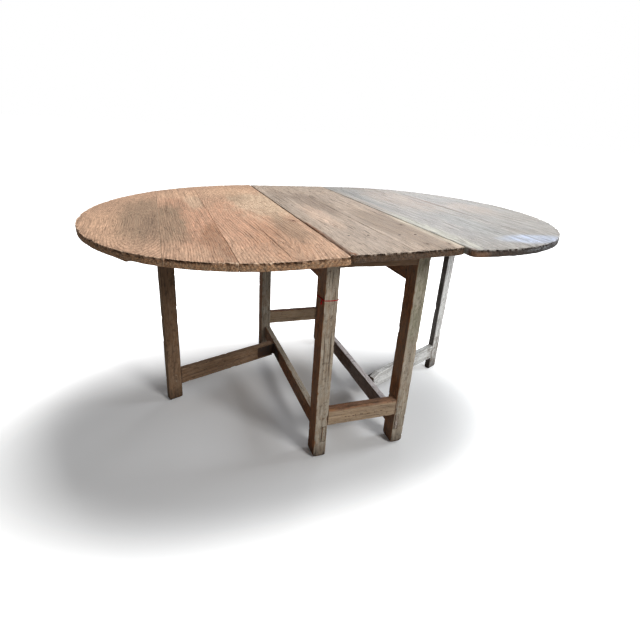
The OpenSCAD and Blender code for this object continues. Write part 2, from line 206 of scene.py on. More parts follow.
def spread(count, ends):
    """Fractions from 0 to 1, evenly spaced where ends is 0 and crowded towards both ends where it is 1."""
    t = np.linspace(0, 1, count + 1)
    return (1 - ends) * t + ends * (0.5 - 0.5 * np.cos(math.pi * t))


def rounded_loops(width, depth, radii, along, up, turn, ends=0.0):
    """Rectangles with a rounded corner of its own radius each, one per loop.

    radii holds four columns: low left, low right, high left and high right. Each loop goes from the
    middle of the left side round the lower half to the right side, and back over its mirror image.
    Returns x, y, the outward direction's x and y, and the share of rounding at each point.
    """
    hw = np.asarray(width)[:, None] / 2
    hd = np.asarray(depth)[:, None] / 2
    none = np.zeros_like(hw)
    phi = np.linspace(0, math.pi / 2, turn + 1)[None, :]
    sin, cos, arc = np.sin(phi), np.cos(phi), np.sin(2 * phi) ** 0.5
    side = ((np.arange(up) + 0.5) / up)[None, :]
    run = spread(along, ends)[None, 1:-1]
    across, level = none + 0 * side, none + 0 * run
    halves = []
    for sign, left, right in ((-1, radii[:, 0:1], radii[:, 1:2]), (1, radii[:, 2:3], radii[:, 3:4])):
        parts = (
            [across - hw, left * (1 - cos) - hw, -hw + left + run * (2 * hw - left - right),
             hw - right * (1 - sin), across + hw],
            [side * (hd - left), hd - left * (1 - sin), level + hd,
             hd - right * (1 - cos), side[:, ::-1] * (hd - right)],
            [across - 1, none - cos, level, none + sin, across + 1],
            [across, none + sin, level + 1, none + cos, across],
            [across, none + arc, level, none + arc, across])
        half = [np.concatenate(part, 1) for part in parts]
        half[1] = half[1] * sign
        half[3] = half[3] * sign
        halves.append(half)
    return [np.concatenate([low, high[:, ::-1]], 1) for low, high in zip(*halves)]


# ---- sawn bars: legs, rails, stretchers, arms and battens ----

def bar(name, length, width, depth, place, finish, nodes, seed, body="frame", slot="weathered_oak",
        step=4 * MM, fine=(8, 8), arris=2.2 * MM, rough=0.35 * MM, foot=3 * MM, head=1 * MM, bow=(0, 0),
        pith=(0.05, 0.03), dents=(), cuts=(), corners=(1, 1, 1, 1), shape=None, brown=(0, 0), cut_ends=True):
    """A sawn bar along its own Z, from 0 to length, put in place by a function of its points.

    Its section is a rounded rectangle. The rounding grows and shrinks along each arris with noise, and
    deep short noise bites chips out of it. Flats sink by long shallow noise, as a hand plane leaves them,
    and by small pits. Both ends are rounded over foot and head. dents are (face direction, across, along,
    reach, sink), cuts are heights that get a loop of their own, shape moves the finished points, and brown
    is the direction of the face that has kept its old brown skin, whose dark brown is partly painted shade.
    """
    count = max(int(length / step), 8)
    z = np.unique(np.concatenate([np.linspace(0, length, count + 1), np.array(cuts),
                                  foot * np.array([0.03, 0.1, 0.2, 0.4, 0.7, 1.0]),
                                  length - head * np.array([0.1, 0.3, 0.6])]))
    near_foot = np.clip(foot - z, 0, foot)
    near_head = np.clip(z - (length - head), 0, head)
    inset = 0.55 * (foot - np.sqrt(foot ** 2 - near_foot ** 2)) + head - np.sqrt(head ** 2 - near_head ** 2)
    lines = np.stack([xyz(z, 0 * z + corner, 0 * z) for corner in range(4)], 1)
    radii = arris * (1 + 0.5 * layered(lines, (0.09, 1, 1), seed))
    radii = radii + 6 * arris * peaks(lines, (0.016, 1, 1), seed + 3, 0.62)
    radii = radii + 3 * arris * peaks(lines, (0.06, 1, 1), seed + 5, 0.6)
    radii = np.clip(radii * np.array(corners), 0.4 * arris, 0.38 * min(width, depth)) + 0.6 * inset[:, None]
    x, y, nx, ny, edge = rounded_loops(width - 2 * inset, depth - 2 * inset, radii, *fine, 4)
    z = np.broadcast_to(z[:, None], x.shape)
    at = xyz(x, y, z)
    sink = rough * (1 + layered(at, (0.02, 0.02, 0.14), seed + 11)) * 0.6
    sink = sink + 0.5 * rough * (1 + noise(at, (0.006, 0.006, 0.05), seed + 13))
    pits = peaks(at, (0.006, 0.006, 0.009), seed + 17, 0.6)
    sink = sink + 6 * rough * pits
    marks = 0 * sink
    for face, across, along, reach, depth_in in dents:
        offset = (y if face[0] else x) - across
        mark = bump(np.hypot(offset / reach[0], (z - along) / reach[1]), 0, 1)
        mark = held(nx * face[0] + ny * face[1]) * mark
        marks = np.maximum(marks, mark)
        sink = sink + depth_in * mark
    swing = np.sin(math.pi * z / length)
    moved = [x - nx * sink + bow[0] * swing, y - ny * sink + bow[1] * swing, z]
    if shape is not None:
        moved = shape(*moved)
    cut = held(1 - np.minimum(z, length - z) / (1.2 * MM)) * cut_ends
    timber = xyz(x + pith[0] + 0.004 * noise(at, (9, 9, 0.3), seed + 19),
                 y + pith[1] + 0.1 * (z - length / 2) ** 2, z + seed * 1.37)
    wear = held(edge * (0.4 + 0.6 * noise(at, (0.05, 0.05, 0.05), seed + 23)) + inset[:, None] / 0.004)
    hollow = np.maximum(marks, np.clip(pits * 4, 0, 0.5))
    # the face painted dark brown: its old skin, and partly painted shade
    sheltered = held(1.3 * (nx * brown[0] + ny * brown[1]))
    make_piece(name, place(np.stack(moved, -1)), body, nodes, finish, slot, timber=timber, wear=wear,
               end_grain=cut, hollow=hollow, sheltered=sheltered)


def upright(x, y):
    """Keeps a bar upright, over a point on the plan."""
    return lambda p: p + np.array([x, y, 0])


def along_x(low, high):
    """Lays a bar along X so that its width is across Y and its depth across Z."""
    middle = (low + high) / 2
    return lambda p: xyz(low[0] + p[..., 2], middle[1] + p[..., 0], middle[2] + p[..., 1])


def along_y(low, high):
    """Lays a bar along Y so that its width is across X and its depth across Z."""
    middle = (low + high) / 2
    return lambda p: xyz(middle[0] + p[..., 0], low[1] + p[..., 2], middle[2] + p[..., 1])


def in_gate(side, lay):
    """Turns a piece laid out in its gate's own space, X along the arms from the pin, into place."""
    c, s = math.cos(GATE_TURN[side]), math.sin(GATE_TURN[side])
    turn = np.array([[c, s, 0], [-s, c, 0], [0, 0, 1]])
    pin = GATE_PIN[side] * np.array([1, 1, 0])
    return lambda p: lay(p) @ turn + pin


def in_leaf(side, lay):
    """Turns a piece laid out in its leaf's own space, X outwards and Z up from the hinge pin, into place."""
    a = SAG[side]

    def place(p):
        q = lay(p)
        out = q[..., 0] * math.cos(a) + q[..., 2] * math.sin(a)
        up = q[..., 2] * math.cos(a) - q[..., 0] * math.sin(a)
        return xyz(LEAF_PIN[side][0] + side * out, q[..., 1], LEAF_PIN[side][2] + up)
    return place


# ---- boards of the top ----

def board(name, near, far, place, finish, slot, body, seed, z_low, pith, ring, across=None, seam=(),
          edges=(), cracks=(), near_worn=True, fine=80, crowd=0.85):
    """A board whose loops run from a near outline point to a far one, top and bottom.

    near and far are plan points, one pair per loop. The end arrises are rounded by a radius that noise
    and sharp chips make larger, and the end faces are ragged, most at the top. Rings are the distance
    from the log's pith: soft early wood is worn into shallow valleys, which open as notches at the ends.
    across gives each loop's distance from the board's two long edges, where the top rolls over by the two
    radii in seam, and by more over the stretches in edges, each (from, to, extra). Cracks are long narrow
    troughs given as (across, from, to, half width, depth).
    """
    length = np.linalg.norm(far - near, axis=1)
    unit = (far - near) / np.maximum(length, 1e-6)[:, None]
    radii = np.empty((len(near), 4))
    for column, (plan, worn) in enumerate(((near, near_worn), (far, True), (near, near_worn), (far, True))):
        spot = xyz(plan[:, 0], plan[:, 1], 0 * plan[:, 0] + column)
        size = 2 if column > 1 else 1
        r = (1.5 + 0.7 * layered(spot, (0.07, 0.07, 1), seed + column)) * MM
        r = r + 3 * size * MM * peaks(spot, (0.0075, 0.0075, 1), seed + 31, 0.1) ** 1.5
        r = r + 6 * size * MM * peaks(spot, (0.03, 0.03, 1), seed + 37, 0.4)
        radii[:, column] = r if worn else 0.7 * MM
    radii = np.clip(radii, 0.3 * MM, 0.46 * TOP_T)
    radii = np.minimum(radii, 0.3 * np.maximum(length, 0.4 * MM)[:, None])
    x, y, nx, ny, edge = rounded_loops(length, 0 * length + TOP_T, radii, fine, 6, 4, crowd)
    t = x + length[:, None] / 2
    plan = near[:, None, :] + unit[:, None, :] * t[..., None]
    high = held(0.5 + y / TOP_T)
    at = xyz(plan[..., 0], plan[..., 1], y)
    pith_x, depth, middle, curve = pith
    timber = log_place(at, pith_x, depth + curve * (plan[..., 1] - middle) ** 2, ring, seed)
    valley = 1 - late_wood(timber, ring)
    # ragged end faces: splits that run through the thickness, deeper near the top
    ends = np.abs(nx) if near_worn else held(nx)
    ragged = (0.9 + 0.9 * layered(at, (0.009, 0.009, 0.08), seed + 41)) * MM
    bite = np.clip(2.2 + 2.8 * noise(at, (0.035, 0.035, SAME), seed + 42), 0.3, 5)
    ragged = ragged + bite * MM * valley * (0.15 + 0.85 * high ** 2)
    splits = peaks(at, (0.0075, 0.0075, SAME), seed + 46, 0.1)
    ragged = ragged + 9 * MM * splits * (0.2 + 0.8 * high ** 2)
    ragged = ragged + 9 * MM * peaks(at, (0.016, 0.016, 0.2), seed + 43, 0.4)
    ragged = ragged + 1.2 * MM * noise(at, (0.12, 0.12, SAME), seed + 47)
    eaten = np.clip(0.6 + 1.5 * layered(at, (0.02, 0.02, SAME), seed + 44), 0, 2)
    ragged = np.clip(ragged, 0, 9 * MM) * (0.3 + 0.7 * high) + 3 * MM * eaten * bump(high, 0.7, 0.3)
    handled = 0.4 + 0.6 * held(0.5 - plan[..., 1] / 0.4)
    # below the arris the hard top skin hangs on as pale teeth, with gaps between them that are darkened as
    # painted shade
    teeth = noise(at, (0.006, 0.006, 0.1), seed + 48)
    skin = held(3 * teeth + 0.1) * held((high - 0.66) / 0.1) * ends
    gaps = held(0.2 - 3 * teeth) * bump(high, 0.8, 0.3) * ends
    ragged = np.maximum(ragged + (2.5 * gaps - 1.0 * skin) * MM, 0) * handled
    ragged = ragged + 0.8 * MM * peaks(at, (0.05, 0.05, 0.0035), seed + 45, -0.2) * (1 - high)
    plan = plan - (unit[:, None, :] * (np.sign(nx) * ends * ragged)[..., None])
    # the top wears hollow, and rolls over towards worn ends and long edges
    to_end = held(np.minimum(np.where(near_worn, t, 1.0), length[:, None] - t))
    sink = 0.35 * MM * (1 + layered(at, (0.05, 0.25, 1), seed + 53))
    sink = sink + 0.9 * MM * np.exp(-to_end / 0.012)
    sink = sink + valley * (0.3 * MM + 0.7 * MM * np.exp(-to_end / 0.02))
    sink = sink + 5 * MM * splits * handled * np.exp(-to_end / 0.006)
    sink = sink + 1.5 * MM * peaks(at, (0.012, 0.05, 1), seed + 59, 0.72)
    split = 0 * sink
    for where, low_y, high_y, half, deep in cracks:
        wander = where + 4 * MM * noise(at, (SAME, 0.09, SAME), seed + 71)
        gap = bump(plan[..., 0], wander, half) * between(plan[..., 1], low_y, high_y) ** 0.5
        split = np.maximum(split, gap)
        sink = sink + deep * gap
    side_wear = roll = 0.0
    top = held(ny)
    if across is not None:
        for distance, rolled, salt in zip(across, seam, (61, 67)):
            r = rolled * (1 + 0.45 * layered(at, (SAME, 0.05, SAME), seed + salt))
            r = r + 1.2 * rolled * peaks(at, (SAME, 0.013, SAME), seed + salt, 0.5)
            for low_y, high_y, extra in edges:
                r = r + extra * between(plan[..., 1], low_y, high_y) * (distance is across[0])
            d = np.minimum(distance[:, None], r)
            sink = sink + r - np.sqrt(r * r - (r - d) ** 2)
        nearest = np.minimum(*across)[:, None]
        roll = 1.2 * MM - np.sqrt((1.2 * MM) ** 2 - np.clip(1.2 * MM - nearest, 0, None) ** 2)
        side_wear = np.exp(-nearest / (4 * MM)) * top * 0.25
    under = held(-ny) * (0.25 * MM * (1 + noise(at, (0.02, 0.2, 1), seed + 73)) + roll)
    z = z_low + TOP_T / 2 + y - top * sink + under
    cut = held((ends - 0.5) * 3) * (1 - 0.9 * skin)
    notches = held(3 * splits * handled * np.exp(-to_end / 0.007))
    # the deep notches of the ends darken, and the gaps under the arris are darkened as painted shade
    hollow = np.maximum(held((ragged / MM - 3.4) / 4) * held(ends * 2) * (1 - skin), gaps * handled)
    hollow = np.maximum(hollow, np.maximum(split, notches) * top)
    wear = held(edge * 0.9 + 0.7 * np.exp(-to_end / 0.006) * top + side_wear)
    nodes = [name.removesuffix("_worn")]
    make_piece(name, place(xyz(plan[..., 0], plan[..., 1], z)), body, nodes, finish, slot, timber=timber,
               wear=wear, end_grain=cut, hollow=hollow)


def log_place(at, pith_x, depth, ring, seed):
    """Where points of a board sat in the log: across and through it from the pith line, and along it.

    Slow noise sways the pith sideways, and faster noise crowds or spreads the rings by up to a ring's width.
    """
    sway = 0.016 * layered(at, (9, 0.4, 9), seed + 79)
    sway = sway + 0.35 * ring * layered(at, (0.02, 0.09, 0.1), seed + 83)
    return xyz(at[..., 0] - pith_x + sway, depth - at[..., 2], at[..., 1] + seed * 1.7)


def late_wood(timber, ring):
    """0 in a ring's soft early wood, rising to 1 in its hard late wood."""
    t = np.hypot(timber[..., 0], timber[..., 1]) / ring
    t = t - np.floor(t)
    return held((t - 0.3) / 0.5) ** 2 * held((1 - t) / 0.12)


def long_rows(start, stop, cracks=()):
    """Distances across a board: even steps, crowded at both long edges and round each crack."""
    fine = np.array([0, 0.25, 0.6, 1.1, 1.8, 2.8, 4.2, 6.0]) * MM
    rows = [np.linspace(start, stop, int((stop - start) / (1.5 * MM))), start + fine, stop - fine]
    rows += [crack[0] + np.arange(-8, 8.1, 0.8) * MM for crack in cracks]
    rows = np.unique(np.round(np.concatenate(rows), 6))
    return rows[(rows >= start) & (rows <= stop)]


def leaf_half(side, u):
    """Half the leaf's depth at distance u from its hinged edge: straight, then an ellipse."""
    t = held((u - LEAF_STRAIGHT[side]) / (LEAF_REACH[side] - LEAF_STRAIGHT[side]))
    return LEAF_HALF[side] * np.sqrt(1 - t * t)


def leaf_place(side, finish):
    """What every board of a leaf is given: place, finish, slot and body, in the order that board has."""
    slot = "warm_pine" if side == LEFT else "grey_pine"
    return in_leaf(side, lambda p: p), finish, slot, SIDE[side] + "_leaf"


def leaf_board(side, name, start, stop, finish, seed, pith, ring, cracks=(), seam=(0.5 * MM, 0.5 * MM)):
    """A straight board of a leaf, from start to stop across it, with its ends on the oval."""
    u = long_rows(start, stop, cracks)
    half = leaf_half(side, u)
    broken = (13 if side == RIGHT else 5) * MM * held(1 - u / (16 * MM)) ** 2
    near = np.stack([u + HALF_GAP, broken - half], 1)
    far = np.stack([u + HALF_GAP, half], 1)
    board(name, near, far, *leaf_place(side, finish), seed, BOARD_Z - LEAF_PIN[side][2], pith, ring,
          across=(u - start, stop - u), seam=seam, cracks=[(c[0] + HALF_GAP,) + c[1:] for c in cracks])


def leaf_tip(side, name, start, finish, seed, pith, ring):
    """A leaf's outer board: loops fan out from the straight seam to the oval edge."""
    straight, half = LEAF_STRAIGHT[side], LEAF_HALF[side]
    reach = LEAF_REACH[side] - straight
    first = math.acos((start - straight) / reach)
    theta = np.linspace(-first, first, 560)
    far = np.stack([straight + reach * np.cos(theta) + HALF_GAP, half * np.sin(theta)], 1)
    chord = half * math.sin(first)
    t = np.linspace(-1, 1, len(theta))
    near = np.stack([0 * t + start + HALF_GAP, chord * (0.35 * t + 0.65 * np.sin(t * math.pi / 2))], 1)
    near[0], near[-1] = far[0] - (0.3 * MM, 0), far[-1] - (0.3 * MM, 0)
    board(name, near, far, *leaf_place(side, finish), seed, BOARD_Z - LEAF_PIN[side][2], pith, ring,
          near_worn=False, fine=58, crowd=0.6)


# ---- shader trees ----

class Tree:
    """A shader tree, with a short way to add each kind of node that the finishes use."""

    def __init__(self, tree):
        self.nodes, self.links = tree.nodes, tree.links

    def feed(self, node, inputs):
        """Links a node's inputs to sockets, or sets them to plain values."""
        for key, value in inputs.items():
            if isinstance(value, bpy.types.NodeSocket):
                self.links.new(value, node.inputs[key])
            else:
                node.inputs[key].default_value = value
        return node

    def add(self, kind, inputs=None, **settings):
        """Adds a node with its settings and inputs."""
        node = self.nodes.new("ShaderNode" + kind)
        for key, value in settings.items():
            setattr(node, key, value)
        return self.feed(node, inputs or {})

    def place(self):
        """Object coordinates."""
        return self.add("TexCoord").outputs["Object"]

    def attribute(self, name, output="Fac"):
        """What the mesh carries at each point under a name."""
        return self.add("Attribute", attribute_name=name).outputs[output]

    def math(self, operation, a, b=0.0, clamp=False):
        """The result of one arithmetic node."""
        return self.add("Math", {0: a, 1: b}, operation=operation, use_clamp=clamp).outputs[0]

    def times(self, a, b, clamp=False):
        """Two values multiplied."""
        return self.math("MULTIPLY", a, b, clamp)

    def vector(self, operation, a, b=(0, 0, 0)):
        """The result of one vector node, which is a value for a length."""
        node = self.add("VectorMath", {0: a, 1: b}, operation=operation)
        return node.outputs["Value" if operation == "LENGTH" else 0]

    def parts(self, vector):
        """A vector's three parts."""
        return self.add("SeparateXYZ", {0: vector}).outputs

    def scaled(self, value, low, high, to_low=0.0, to_high=1.0, curve="LINEAR"):
        """A value carried from one range to another, held at both ends."""
        ranges = {"Value": value, "From Min": low, "From Max": high, "To Min": to_low, "To Max": to_high}
        return self.add("MapRange", ranges, interpolation_type=curve).outputs["Result"]

    def noise(self, place, scale, detail=2.0, roughness=0.5, distortion=0.0):
        """A noise texture's value. The scale is one number, or three that draw the noise out along an axis."""
        if isinstance(scale, tuple):
            place, scale = self.vector("MULTIPLY", place, scale), 1.0
        return self.add("TexNoise", {"Vector": place, "Scale": scale, "Detail": detail, "Roughness": roughness,
                                     "Distortion": distortion}).outputs[0]

    def over(self, colour, tint, mask, share=1.0):
        """A tint laid over a colour where a mask is, at a share of its full strength."""
        factor = mask if share == 1 else self.times(mask, share)
        return self.add("Mix", {0: factor, 6: colour, 7: tint}, data_type="RGBA").outputs[2]

    def dimmed(self, colour, value):
        """A colour multiplied by a value."""
        return self.add("VectorMath", {0: colour, "Scale": value}, operation="SCALE").outputs[0]

    def bumped(self, height, distance, strength):
        """The normal that a height gives."""
        return self.add("Bump", {"Height": height, "Distance": distance, "Strength": strength}).outputs[0]

    def group(self, name, inputs):
        """Places a shared shader group, and returns its outputs."""
        return self.add("Group", inputs, node_tree=bpy.data.node_groups[name]).outputs


# ---- shader groups ----

def new_group(name, inputs, outputs):
    """A shader group with named sockets: its tree, its given inputs and its output node. None is a vector."""
    made = bpy.data.node_groups.new(name, "ShaderNodeTree")
    for socket, value in inputs.items():
        kind = "NodeSocketVector" if value is None else "NodeSocketFloat"
        item = made.interface.new_socket(socket, in_out="INPUT", socket_type=kind)
        if value is not None:
            item.default_value = value
    for socket in outputs:
        made.interface.new_socket(socket, in_out="OUTPUT", socket_type="NodeSocketFloat")
    tree = Tree(made)
    return tree, tree.nodes.new("NodeGroupInput").outputs, tree.nodes.new("NodeGroupOutput")


def growth_rings_group():
    """Rings and fibre of a log. Rings are steps of the distance from the pith, from soft early wood rising to
    hard late wood. Fibre and streak are noise drawn out along the log, and checks are its rare dark lines."""
    tree, given, out = new_group("growth rings", {"Timber": None, "Ring Width": 0.005},
                                 ("Late Wood", "Fibre", "Streak", "Checks"))
    timber = given["Timber"]
    from_pith = tree.vector("LENGTH", tree.vector("MULTIPLY", timber, (1, 1, 0)))
    ring = tree.math("FRACT", tree.math("DIVIDE", from_pith, given["Ring Width"]))
    rise = tree.scaled(ring, 0.3, 0.8)
    late = tree.times(tree.times(rise, rise), tree.scaled(ring, 0.88, 1.0, 1.0, 0.0))
    strength = tree.scaled(tree.noise(timber, (45, 45, 5)), 0.3, 0.62, 0.3, 1.0)
    line = tree.noise(timber, (230, 230, 2.6), 3.0, 0.6, 0.3)
    tree.feed(out, {"Late Wood": tree.times(late, strength),
                    "Fibre": tree.noise(timber, (380, 380, 6), 4.0, 0.72),
                    "Streak": tree.noise(timber, (95, 95, 1.9), 4.0, 0.65),
                    "Checks": tree.scaled(line, 0.57, 0.68, curve="SMOOTHSTEP")})


def patch_group():
    """A soft-edged oval patch at a place on the object, its edge broken by noise drawn out along Y."""
    tree, given, out = new_group("soft patch", {"Position": None, "Centre": None, "Reach": None,
                                                "Raggedness": 0.8}, ("Mask",))
    away = tree.vector("DIVIDE", tree.vector("SUBTRACT", given["Position"], given["Centre"]), given["Reach"])
    rough = tree.math("SUBTRACT", tree.noise(given["Position"], (34, 7, 34), 4.0, 0.62), 0.5)
    edge = tree.math("ADD", tree.vector("LENGTH", away), tree.times(rough, given["Raggedness"]))
    tree.feed(out, {"Mask": tree.scaled(edge, 0.45, 1.05, 1.0, 0.0, "SMOOTHSTEP")})


def knot_group():
    """A knot on a face: a dark oval eye in a wider stained halo, at a place on the object."""
    tree, given, out = new_group("knot", {"Position": None, "Centre": None, "Size": 0.01}, ("Eye", "Halo"))
    away = tree.vector("SUBTRACT", given["Position"], given["Centre"])
    distance = tree.vector("LENGTH", tree.vector("MULTIPLY", away, (1.0, 0.6, 1.0)))
    rough = tree.times(tree.noise(given["Position"], 160.0), 0.5)
    ratio = tree.math("ADD", tree.math("DIVIDE", distance, given["Size"]), rough)
    for socket, inside, outside in (("Eye", 0.7, 1.15), ("Halo", 1.2, 3.2)):
        tree.feed(out, {socket: tree.scaled(ratio, inside, outside, 1.0, 0.0, "SMOOTHSTEP")})


def grime_group():
    """Dirt and age: broad clouds, a mottle of worn finish, small specks, and the worn share of the arrises."""
    tree, given, out = new_group("grime", {"Position": None, "Timber": None, "Wear": 0.0},
                                 ("Cloud", "Mottle", "Specks", "Scuff"))
    place, timber = given["Position"], given["Timber"]
    scuff = tree.math("SUBTRACT", tree.noise(place, 60.0, 4.0, 0.65), 0.62)
    for socket, value, low, high in (("Cloud", tree.noise(place, 6.0, 4.0, 0.6), 0.34, 0.66),
                                     ("Mottle", tree.noise(timber, (110, 110, 34), 5.0, 0.72), 0.4, 0.62),
                                     ("Specks", tree.noise(timber, (330, 330, 120), 3.0, 0.7), 0.58, 0.72),
                                     ("Scuff", tree.math("ADD", given["Wear"], scuff), 0.1, 0.55)):
        tree.feed(out, {socket: tree.scaled(value, low, high, curve="SMOOTHSTEP")})


def joint_line_group():
    """The dark gap round a rectangle on a face: a thin band just outside its half sizes in X and Z."""
    tree, given, out = new_group("joint line", {"Position": None, "Centre": None, "Half Size": None}, ("Gap",))
    away = tree.vector("ABSOLUTE", tree.vector("SUBTRACT", given["Position"], given["Centre"]))
    beyond = tree.parts(tree.vector("SUBTRACT", away, given["Half Size"]))
    beyond = tree.math("MAXIMUM", beyond[0], beyond[2])
    tree.feed(out, {"Gap": tree.times(tree.scaled(beyond, -0.0006, 0.0),
                                      tree.scaled(beyond, 0.0012, 0.0024, 1.0, 0.0))})


growth_rings_group()
patch_group()
knot_group()
grime_group()
joint_line_group()


# ---- materials ----

def rgb(red, green, blue, share=1.0):
    """A linear colour from its 0 to 255 screen values, with a share of its brightness."""
    return tuple(share * (v / 255) ** 2.2 for v in (red, green, blue)) + (1.0,)


def shader(name, roughness, specular):
    """A new material, its tree and its Principled BSDF."""
    material = bpy.data.materials.new(name)
    material.use_nodes = True
    material.node_tree.nodes.clear()
    tree = Tree(material.node_tree)
    surface = tree.add("BsdfPrincipled", {"Roughness": roughness, "Specular IOR Level": specular})
    tree.add("OutputMaterial", {"Surface": surface.outputs[0]})
    return material, tree, surface


def wood(name, early, late, aged, cut, cut_aged=rgb(120, 104, 88), dirt_and_shade=rgb(46, 33, 24), worn=None,
         sheltered=None, ring=5 * MM, late_share=0.6, age=0.5, mottle=0.3, contrast=1.0, check=0.55, speck=0.3,
         gloss=(0.6, 0.85), specular=0.3, relief=0.7 * MM, patches=(), end_patches=(), knots=(), joints=(),
         own_log=True):
    """Old bare wood: rings and fibre from the timber attribute, age in clouds and mottle, dirt in the
    checks, worn arrises, porous dark end grain, and patches, knots and joint lines at places on the object.
    The face that kept its old skin is dark brown, partly as painted shade, the hollows darken, with painted
    shade in the gaps under the end arrises, and every piece darkens towards the floor."""
    material, tree, surface = shader(name, gloss[0], specular)
    place = tree.place()
    timber = tree.attribute("timber", "Vector") if own_log else place
    end = tree.attribute("end_grain")
    rings = tree.group("growth rings", {"Timber": timber, "Ring Width": ring})
    grime = tree.group("grime", {"Position": place, "Timber": timber, "Wear": tree.attribute("wear")})

    def patch(centre, reach, ragged):
        """The mask of a soft patch at a place on the object."""
        spot = {"Position": place, "Centre": centre, "Reach": reach, "Raggedness": ragged}
        return tree.group("soft patch", spot)["Mask"]

    colour = tree.over(early, late, rings["Late Wood"], late_share)
    colour = tree.over(colour, aged, grime["Cloud"], age)
    for tint, strength, *spot in patches:
        grain = tree.scaled(rings["Streak"], 0.3, 0.65, 0.6 * strength, 1.1 * strength)
        colour = tree.over(colour, tint, tree.times(patch(*spot), grain, clamp=True))
    colour = tree.over(colour, aged, grime["Mottle"], mottle)
    # the dark brown face: old skin, and partly painted shade
    if sheltered:
        brown = tree.times(tree.attribute("sheltered"), tree.scaled(grime["Cloud"], 0, 1, 1.0, 0.75))
        colour = tree.over(colour, tree.over(sheltered, dirt_and_shade, grime["Mottle"], 0.55), brown)
    for value, darker, lighter in (("Fibre", 0.34, 0.32), ("Streak", 0.16, 0.16)):
        lift = tree.scaled(rings[value], 0.32, 0.68, 1 - darker * contrast, 1 + lighter * contrast)
        colour = tree.dimmed(colour, lift)
    for centre, size in knots:
        knot = tree.group("knot", {"Position": place, "Centre": centre, "Size": size})
        colour = tree.over(colour, late, knot["Halo"], 0.35)
        colour = tree.over(colour, dirt_and_shade, knot["Eye"], 0.85)
    dark = tree.math("MAXIMUM", tree.times(rings["Checks"], check), tree.times(grime["Specks"], speck))
    colour = tree.over(colour, dirt_and_shade, dark)
    colour = tree.over(colour, worn or aged, grime["Scuff"], 0.75)
    for centre, half in joints:
        gap = tree.group("joint line", {"Position": place, "Centre": centre, "Half Size": half})["Gap"]
        colour = tree.over(colour, dirt_and_shade, gap, 0.8)

    pores = tree.noise(timber, (420, 420, 60), 3.0, 0.7)
    chunks = tree.noise(timber, (150, 190, 150), 3.0, 0.65)
    cut_face = tree.dimmed(cut[:3], tree.scaled(pores, 0.35, 0.68, 0.45, 1.25))
    cut_face = tree.over(cut_face, cut_aged, grime["Mottle"], 0.6)
    cut_face = tree.over(cut_face, dirt_and_shade, rings["Late Wood"], 0.45)
    cut_face = tree.dimmed(cut_face, tree.scaled(chunks, 0.36, 0.64, 0.6, 1.4))
    for tint, strength, *spot in end_patches:
        cut_face = tree.over(cut_face, tint, patch(*spot), strength)
    colour = tree.over(colour, cut_face, end)
    # hollows darken: pits, dents, splits and notches, and the gaps under the end arrises, where it is painted
    # shade
    colour = tree.over(colour, dirt_and_shade, tree.attribute("hollow"), 0.8)
    # every piece darkens towards the floor over its lowest 6 cm
    foot = tree.scaled(tree.parts(place)[2], 0.004, 0.06, 0.95, 0.0)
    colour = tree.over(colour, dirt_and_shade, tree.times(foot, tree.scaled(grime["Mottle"], 0, 1, 0.5, 1.0)))

    height = tree.math("ADD", tree.times(rings["Late Wood"], 0.35), tree.times(rings["Fibre"], 0.6))
    height = tree.math("SUBTRACT", height, rings["Checks"])
    height = tree.math("ADD", height, tree.times(tree.times(pores, end), 2.5))
    height = tree.math("SUBTRACT", height, tree.times(grime["Specks"], 0.4))
    tree.feed(surface, {"Base Color": colour, "Roughness": tree.scaled(rings["Fibre"], 0.3, 0.7, *gloss),
                        "Normal": tree.bumped(height, relief, 0.9)})
    return material


def iron_finish():
    """Dark rusted iron: brown rust clouds and pits over near-black scale."""
    material, tree, surface = shader("old_iron", 0.6, 0.5)
    place = tree.place()
    rust = tree.group("grime", {"Position": tree.vector("MULTIPLY", place, (5, 5, 5)), "Timber": place})
    colour = tree.over(rgb(50, 46, 44), rgb(76, 56, 44), rust["Cloud"])
    height = tree.math("SUBTRACT", rust["Cloud"], rust["Specks"])
    tree.feed(surface, {"Base Color": tree.over(colour, rgb(112, 72, 46), rust["Specks"]), "Metallic": 0.35,
                        "Roughness": tree.scaled(rust["Cloud"], 0.0, 1.0, 0.45, 0.8),
                        "Normal": tree.bumped(height, 0.2 * MM, 0.7)})
    return material


def thread_finish():
    """Red cotton with a twist that shows as fine slanting lines."""
    material, tree, surface = shader("red_cotton", 0.85, 0.2)
    twist = tree.add("TexWave", {"Vector": tree.place(), "Scale": 260.0, "Distortion": 1.0},
                     bands_direction="DIAGONAL").outputs["Fac"]
    tree.feed(surface, {"Base Color": tree.over(rgb(140, 12, 24), rgb(196, 30, 40), twist),
                        "Normal": tree.bumped(twist, 0.2 * MM, 1.0)})
    return material


# ---- finishes ----

def on_top(*rows):
    """Patches of the top, each a tint, a strength, a place and a reach in plan, and a raggedness."""
    return [(tint, strength, (FRAME_X + x, y, 0.75), (reach_x, reach_y, 0.3), ragged)
            for tint, strength, (x, y), (reach_x, reach_y), ragged in rows]


def knots_at(*rows):
    """Knots of the top, each a place in plan and a size."""
    return [((FRAME_X + x, y, 0.754), size) for (x, y), size in rows]


RING = {"left_inner": 8.0 * MM, "left_centre": 5.6 * MM, "left_outer": 6.4 * MM, "middle": 5.2 * MM,
        "right": 5.4 * MM}
RED = rgb(206, 148, 120, 0.74)
PALE = rgb(222, 198, 170, 0.72)
SAND = rgb(226, 186, 154, 0.78)
OLIVE = rgb(142, 122, 102, 0.72)
DARK = rgb(112, 92, 78, 0.72)
SILVER_PINK = rgb(212, 190, 174, 0.5)
